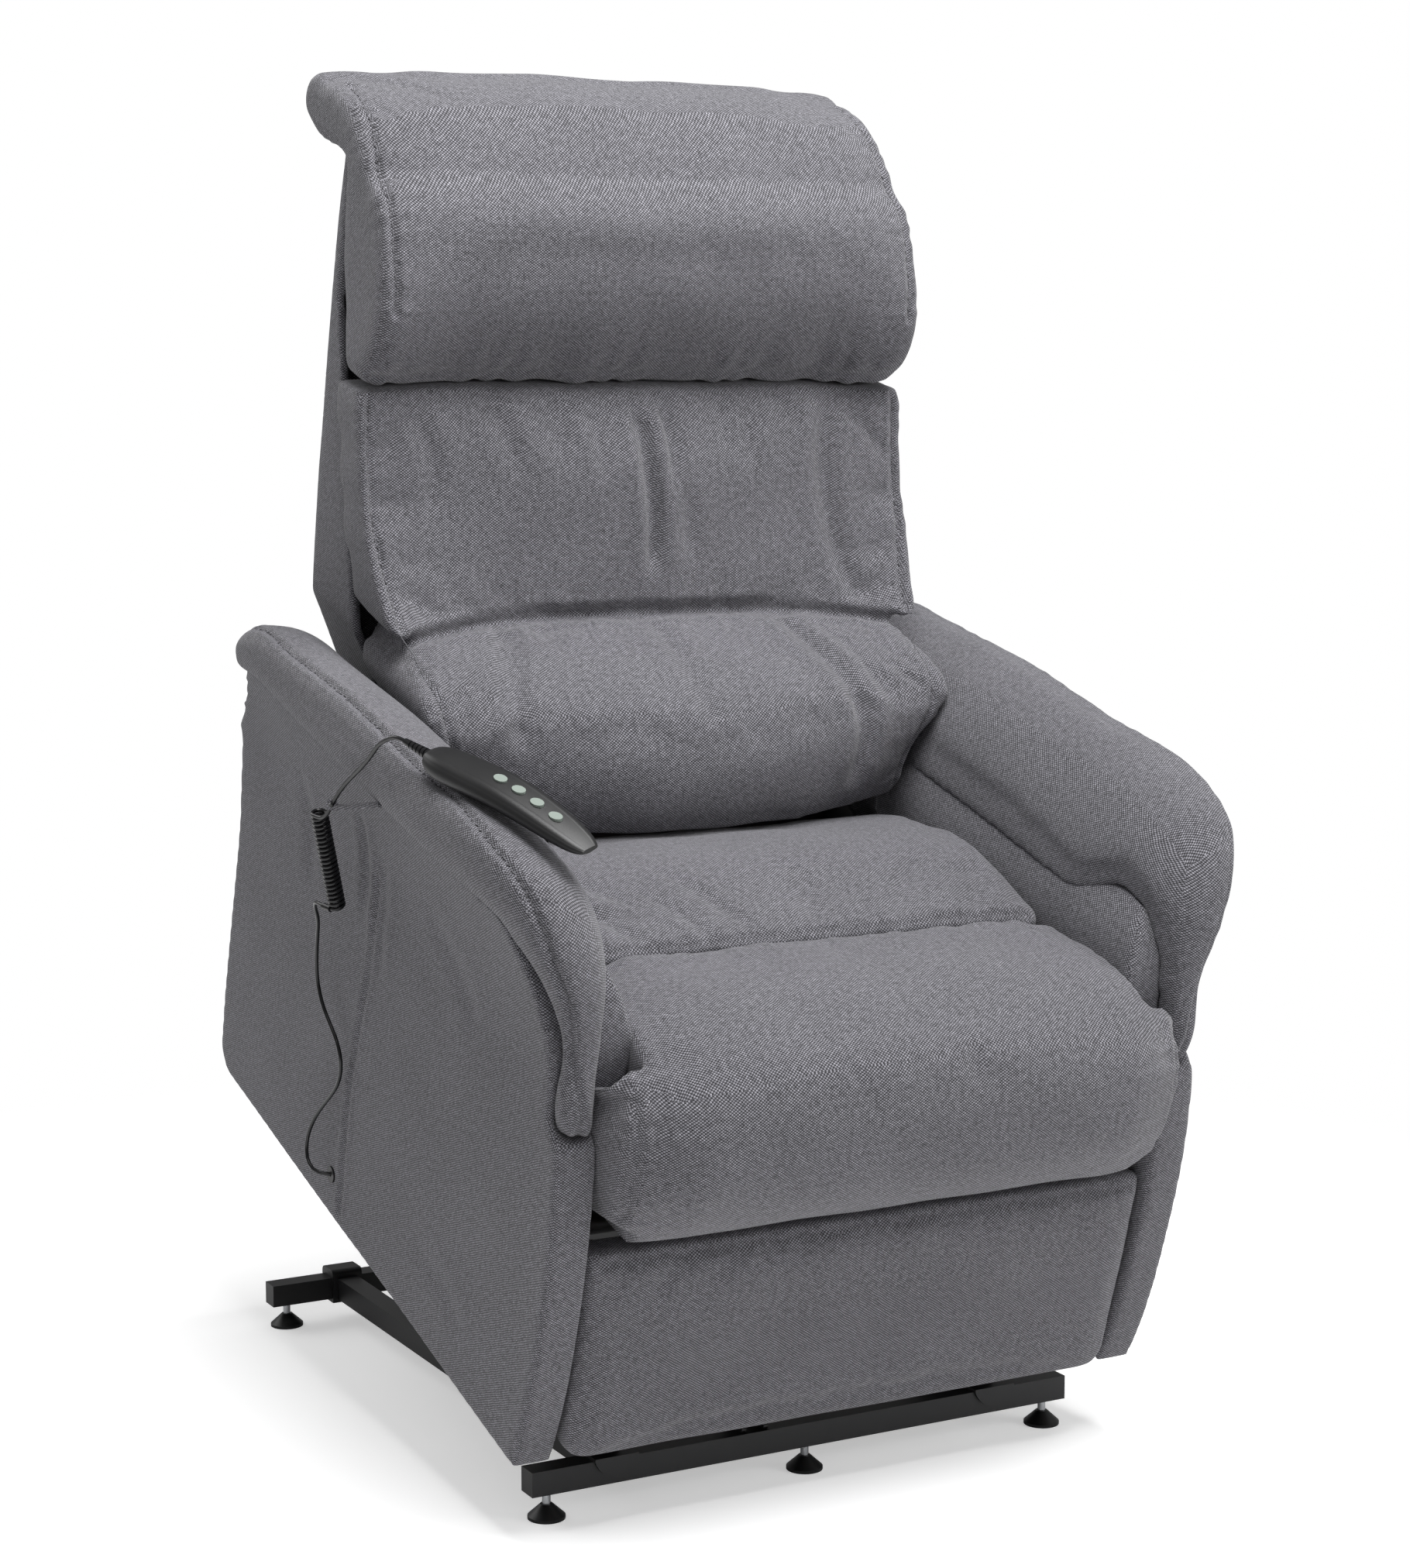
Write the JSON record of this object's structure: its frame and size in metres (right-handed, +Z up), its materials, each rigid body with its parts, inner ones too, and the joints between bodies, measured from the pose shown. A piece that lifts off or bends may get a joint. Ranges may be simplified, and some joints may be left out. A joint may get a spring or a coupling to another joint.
{
  "type": "lift recliner chair",
  "caption": "Powered lift recliner armchair on a steel floor base, with a hinged backrest, fold-out footrest and wired handset resting on one arm.",
  "frame": {"origin": "on the floor in the middle of the chair, under the middle foot of the front base tube", "axes": "+Z up, the chair faces -Y, +X to the right seen from in front"},
  "size_m": [0.8116, 0.9331, 1.3852],
  "materials": {
    "grey_weave": "coarse plain weave, melange",
    "black_steel": "satin powder coat",
    "bright_steel": "zinc plated",
    "black_plastic": "fine moulded texture",
    "key_rubber": "satin",
    "cord_rubber": "glossy",
    "timber": "plain sawn",
    "webbing": "elastic webbing"
  },
  "bodies": {
    "base": {"base_front_tube": "black_steel", "base_rear_tube": "black_steel", "base_rail_left": "black_steel", "base_rail_right": "black_steel", "base_bracket_left": "black_steel", "base_bracket_right": "black_steel", "base_rear_clamps": "black_steel", "tube_end_plugs": "black_plastic", "foot_discs": "black_plastic", "foot_studs": "bright_steel", "lift_motor_bracket": "black_steel"},
    "lift_arms": {"lift_arm_left": "black_steel", "lift_arm_right": "black_steel", "lift_cross_tube": "black_steel"},
    "steady_links": {"steady_link_left": "black_steel", "steady_link_right": "black_steel"},
    "lift_motor": {"lift_motor": "black_plastic"},
    "lift_rod": {"lift_rod": "bright_steel"},
    "seat_unit": {"mech_plate_left": "black_steel", "mech_plate_right": "black_steel", "seat_cross_tube_front": "black_steel", "seat_cross_tube_rear": "black_steel", "seat_rails": "timber", "seat_webbing": "webbing", "side_panel_left": "grey_weave", "side_panel_right": "grey_weave", "arm_pad_left": "grey_weave", "arm_pad_right": "grey_weave", "seat_cushion": "grey_weave", "seat_front_pad": "grey_weave", "rear_panel": "grey_weave", "power_supply": "black_plastic", "power_inlet": "black_plastic", "handset_casing": "black_plastic", "handset_strain_relief": "cord_rubber", "cord_upper": "cord_rubber", "cord_coil": "cord_rubber", "cord_lower": "cord_rubber", "cord_loop": "grey_weave", "cord_grommet": "black_plastic"},
    "button_1": {"handset_button_1": "key_rubber"},
    "button_2": {"handset_button_2": "key_rubber"},
    "button_3": {"handset_button_3": "key_rubber"},
    "button_4": {"handset_button_4": "key_rubber"},
    "backrest": {"back_upright_left": "black_steel", "back_upright_right": "black_steel", "back_rails": "black_steel", "back_cushion": "grey_weave", "head_pillow": "grey_weave", "back_cover": "grey_weave"},
    "back_motor": {"back_motor": "black_plastic"},
    "back_rod": {"back_rod": "bright_steel"},
    "long_links": {"footrest_torque_tube": "black_steel", "footrest_long_links": "black_steel"},
    "guide_links": {"footrest_guide_links": "black_steel"},
    "front_links": {"footrest_front_links": "black_steel"},
    "steady_front_links": {"footrest_steady_links": "black_steel"},
    "footrest_panel": {"footrest_board": "timber", "footrest_pad": "grey_weave", "footrest_brackets": "black_steel"}
  },
  "joints": [
    {"name": "lift", "type": "hinge", "parent": "base", "child": "lift_arms", "pos_m": [0, 0.0889, 0.0929], "axis": [1, 0, 0], "range_deg": [-29.1, 19.1]},
    {"name": "seat_tilt", "type": "hinge", "parent": "lift_arms", "child": "seat_unit", "pos_m": [0, 0.44807, 0.26895], "axis": [1, 0, 0], "range_deg": [-8.5, 12.9]},
    {"name": "steady_turn", "type": "hinge", "parent": "base", "child": "steady_links", "pos_m": [0, 0.0285, 0.0884], "axis": [1, 0, 0], "range_deg": [-35.6, 23.4]},
    {"name": "lift_motor_swing", "type": "hinge", "parent": "base", "child": "lift_motor", "pos_m": [0, 0.04, 0.08], "axis": [1, 0, 0], "range_deg": [-27.1, 17.8]},
    {"name": "lift_rod_slide", "type": "slide", "parent": "lift_motor", "child": "lift_rod", "axis": [0, 0.3967, 0.918], "range_m": [-0.0483, 0.0317]},
    {"name": "recline", "type": "hinge", "parent": "seat_unit", "child": "backrest", "pos_m": [0, 0.38587, 0.55291], "axis": [1, 0, 0], "range_deg": [-38, 0]},
    {"name": "back_motor_swing", "type": "hinge", "parent": "seat_unit", "child": "back_motor", "pos_m": [0, 0.20559, 0.38558], "axis": [1, 0, 0], "range_deg": [-5.9, 0.1]},
    {"name": "back_rod_slide", "type": "slide", "parent": "back_motor", "child": "back_rod", "axis": [0, 0.883, 0.4693], "range_m": [-0.0497, 0.0001]},
    {"name": "footrest", "type": "hinge", "parent": "seat_unit", "child": "long_links", "pos_m": [0, 0.034, 0.36667], "axis": [1, 0, 0], "range_deg": [-78, 0]},
    {"name": "guide_turn", "type": "hinge", "parent": "seat_unit", "child": "guide_links", "pos_m": [0, 0.00935, 0.37493], "axis": [1, 0, 0], "range_deg": [-78.1, 0.1]},
    {"name": "front_link_turn", "type": "hinge", "parent": "long_links", "child": "front_links", "pos_m": [0, 0.11284, 0.18968], "axis": [1, 0, 0], "range_deg": [-0.1, 78.1]},
    {"name": "steady_front_turn", "type": "hinge", "parent": "long_links", "child": "steady_front_links", "pos_m": [0, 0.10226, 0.21343], "axis": [1, 0, 0], "range_deg": [-0.1, 78.1]},
    {"name": "footrest_panel_turn", "type": "hinge", "parent": "front_links", "child": "footrest_panel", "pos_m": [0, -0.06968, 0.25091], "axis": [1, 0, 0], "range_deg": [-78.1, 0.1]},
    {"name": "button_1_press", "type": "slide", "parent": "seat_unit", "child": "button_1", "axis": [0.1416, 0.3883, -0.9106], "range_m": [0, 0.0012], "stiffness_N_per_m": 400, "springref_m": -0.0015},
    {"name": "button_2_press", "type": "slide", "parent": "seat_unit", "child": "button_2", "axis": [0.1416, 0.3883, -0.9106], "range_m": [0, 0.0012], "stiffness_N_per_m": 400, "springref_m": -0.0015},
    {"name": "button_3_press", "type": "slide", "parent": "seat_unit", "child": "button_3", "axis": [0.1416, 0.3883, -0.9106], "range_m": [0, 0.0012], "stiffness_N_per_m": 400, "springref_m": -0.0015},
    {"name": "button_4_press", "type": "slide", "parent": "seat_unit", "child": "button_4", "axis": [0.1416, 0.3883, -0.9106], "range_m": [0, 0.0012], "stiffness_N_per_m": 400, "springref_m": -0.0015}
  ],
  "couplings": [
    {"joint": "seat_tilt", "follows": "lift", "ratio": -0.44},
    {"joint": "steady_turn", "follows": "lift", "ratio": 1.218},
    {"joint": "lift_motor_swing", "follows": "lift", "ratio": 0.927},
    {"joint": "lift_rod_slide", "follows": "lift", "m_per_rad": 0.09475},
    {"joint": "back_motor_swing", "follows": "recline", "ratio": 0.1525},
    {"joint": "back_rod_slide", "follows": "recline", "m_per_rad": 0.07475},
    {"joint": "guide_turn", "follows": "footrest", "ratio": 1},
    {"joint": "front_link_turn", "follows": "footrest", "ratio": -1},
    {"joint": "steady_front_turn", "follows": "footrest", "ratio": -1},
    {"joint": "footrest_panel_turn", "follows": "footrest", "ratio": 1}
  ]
}
